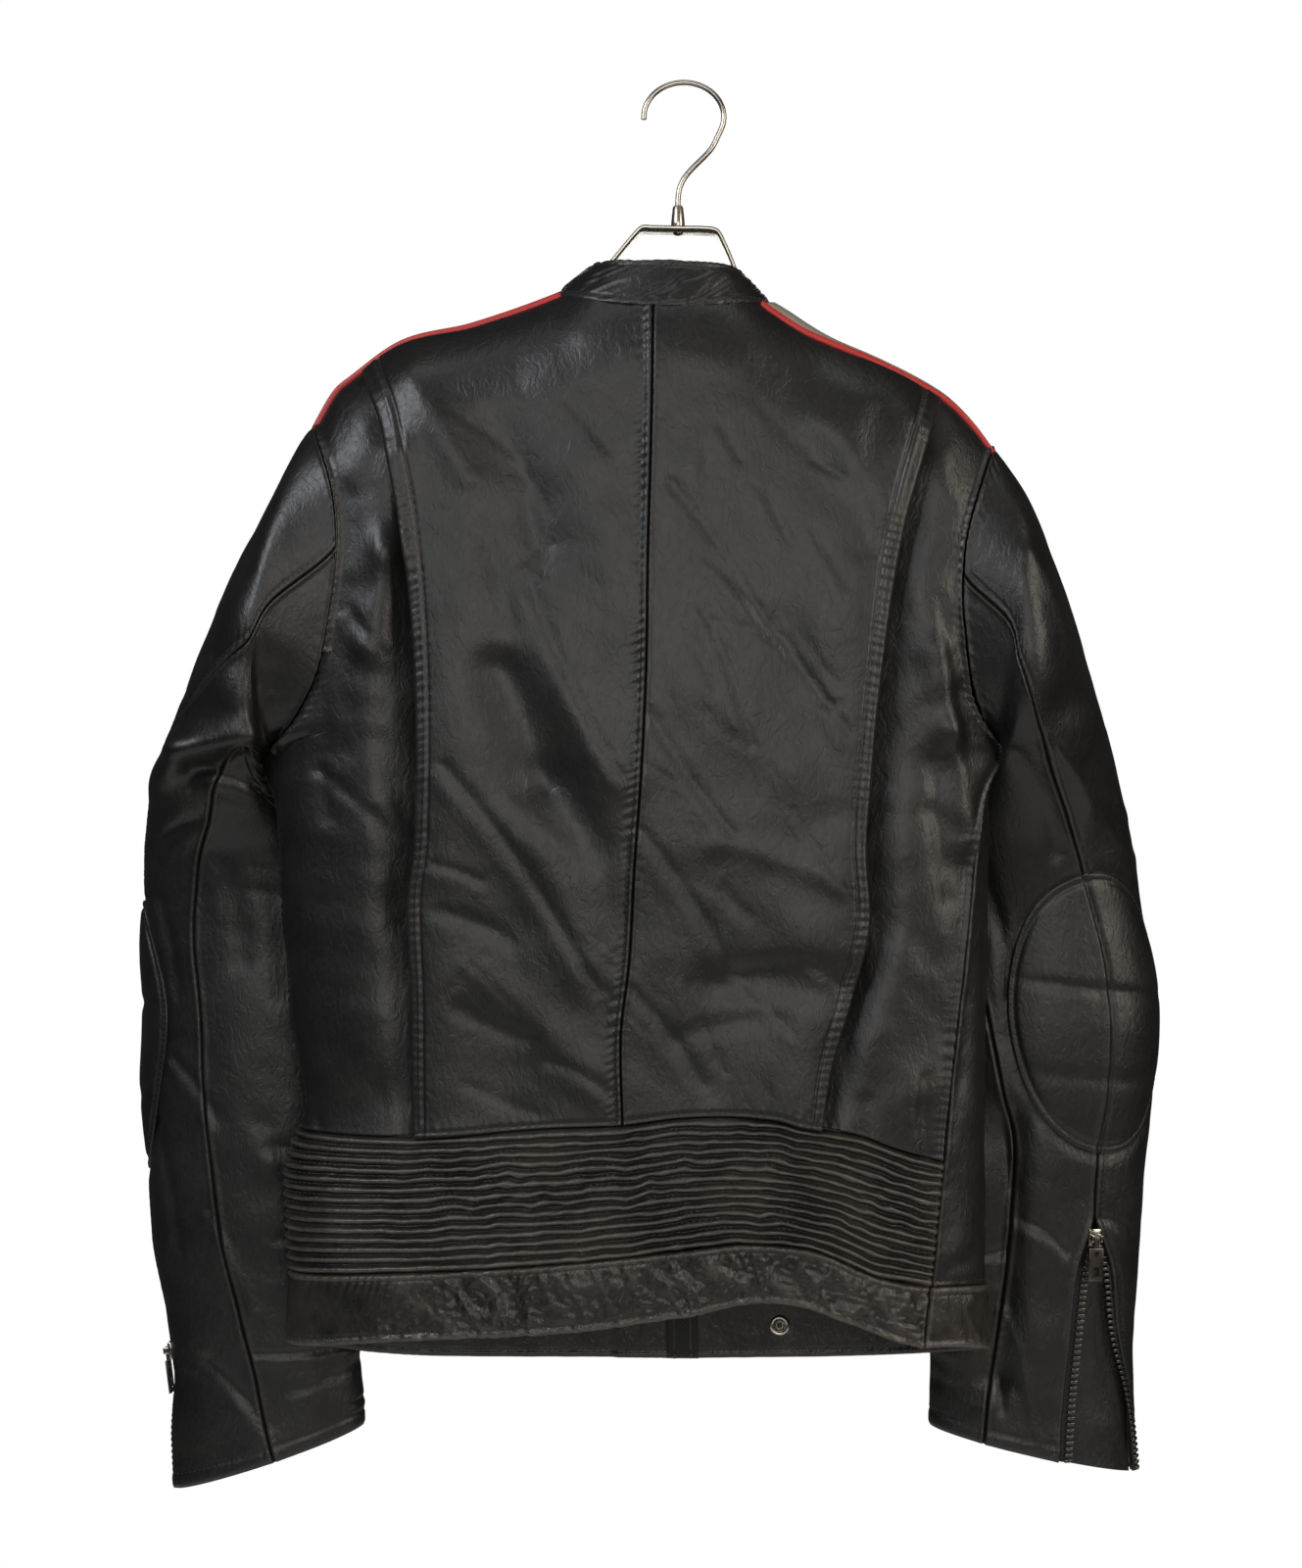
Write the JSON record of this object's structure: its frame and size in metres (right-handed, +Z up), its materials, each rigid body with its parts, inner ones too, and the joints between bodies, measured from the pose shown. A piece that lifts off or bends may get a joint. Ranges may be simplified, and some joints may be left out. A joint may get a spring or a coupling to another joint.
{
  "type": "motorcycle jacket on a hanger",
  "caption": "Black leather motorcycle jacket with pleated action back, ribbed waist panel, red shoulder piping, elbow pads and zipped cuffs, on a metal strip hanger.",
  "frame": {"origin": "highest point inside the hanger's hook, where it bears on its rail", "axes": "+X to the right as seen from behind the jacket, -Y out of the jacket's back, +Z up"},
  "size_m": [0.6561, 0.1577, 0.8783],
  "materials": {
    "black_leather": "semi-gloss grained, creased",
    "grey_leather": "satin grained",
    "red_leather": "semi-gloss",
    "zip_tape": "woven tape with metal teeth",
    "zip_nickel": "polished nickel",
    "hanger_nickel": "satin nickel plate"
  },
  "bodies": {
    "jacket": {"back_centre_left": "black_leather", "back_centre_right": "black_leather", "back_side_left": "black_leather", "back_side_right": "black_leather", "rib_panel": "black_leather", "back_hem_band": "black_leather", "front_left": "black_leather", "front_right": "black_leather", "front_hem_band_left": "black_leather", "front_hem_band_right": "black_leather", "front_zip": "zip_tape", "front_zip_slider": "zip_nickel", "collar": "black_leather", "shoulder_band_left": "grey_leather", "shoulder_band_right": "grey_leather", "piping_back_left": "red_leather", "piping_back_right": "red_leather", "piping_front_left": "red_leather", "piping_front_right": "red_leather", "sleeve_top_left": "black_leather", "sleeve_top_right": "black_leather", "sleeve_under_left": "black_leather", "sleeve_under_right": "black_leather", "elbow_pad_left": "black_leather", "elbow_pad_right": "black_leather", "cuff_gusset_left": "black_leather", "cuff_gusset_right": "black_leather", "cuff_zip_back_left": "zip_tape", "cuff_zip_back_right": "zip_tape", "cuff_zip_front_left": "zip_tape", "cuff_zip_front_right": "zip_tape", "cuff_zip_left_slider": "zip_nickel", "cuff_zip_right_slider": "zip_nickel", "hem_snap": "zip_nickel", "hanger_hook": "hanger_nickel", "hanger_ferrule": "hanger_nickel", "hanger_rivet": "hanger_nickel", "hanger_strip": "hanger_nickel"},
    "cuff_zip_left_pull": {"cuff_zip_left_pull": "zip_nickel"},
    "cuff_zip_right_pull": {"cuff_zip_right_pull": "zip_nickel"},
    "front_zip_pull": {"front_zip_pull": "zip_nickel"}
  },
  "joints": [
    {"name": "cuff_zip_left_pull_hinge", "type": "hinge", "parent": "jacket", "child": "cuff_zip_left_pull", "pos_m": [-0.32943, 0.06039, -0.78923], "axis": [0.0607, 0.9979, -0.0212], "range_deg": [0, 120]},
    {"name": "cuff_zip_right_pull_hinge", "type": "hinge", "parent": "jacket", "child": "cuff_zip_right_pull", "pos_m": [0.25843, 0.02785, -0.71161], "axis": [-0.9694, -0.2444, 0.0209], "range_deg": [0, 120]},
    {"name": "front_zip_pull_hinge", "type": "hinge", "parent": "jacket", "child": "front_zip_pull", "pos_m": [-0.01384, 0.05748, -0.19913], "axis": [1, -0.0092, 0], "range_deg": [0, 120]}
  ]
}
